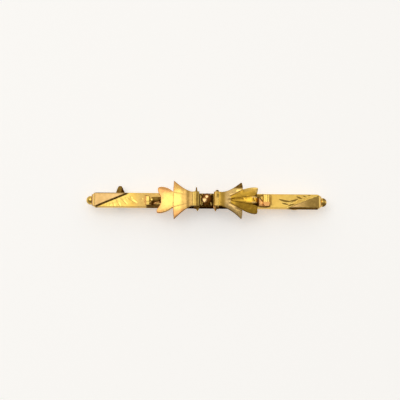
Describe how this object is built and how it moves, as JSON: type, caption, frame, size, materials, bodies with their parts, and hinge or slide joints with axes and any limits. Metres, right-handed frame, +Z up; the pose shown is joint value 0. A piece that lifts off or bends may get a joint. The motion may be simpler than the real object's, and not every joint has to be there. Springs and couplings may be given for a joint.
{
  "type": "bar brooch",
  "caption": "Engraved gold bar brooch with two leaf fans tied at the middle, a small claw-set stone, rolled ribbon ends, corner plates and a pin with a C-shaped catch behind.",
  "frame": {"origin": "on the surface the brooch lies on, under the middle of its bar", "axes": "+X along the bar towards the pin's hinge, +Y across the bar towards the catch's closed end, +Z up out of the decorated face"},
  "size_m": [0.05, 0.0082, 0.0054],
  "materials": {
    "yellow_gold": "polished, lightly worn",
    "rose_gold": "satin",
    "brown_stone": "faceted, polished"
  },
  "bodies": {
    "root": {"bar": "yellow_gold", "ball_end_left": "yellow_gold", "ball_end_right": "yellow_gold", "corner_plate_left": "rose_gold", "corner_plate_right": "rose_gold", "fan_left": "yellow_gold", "fan_right": "yellow_gold", "ribbon_end_left": "yellow_gold", "ribbon_end_right": "yellow_gold", "collar_left": "yellow_gold", "collar_right": "yellow_gold", "setting": "yellow_gold", "stone": "brown_stone", "catch": "yellow_gold", "pin": "yellow_gold"}
  },
  "joints": []
}
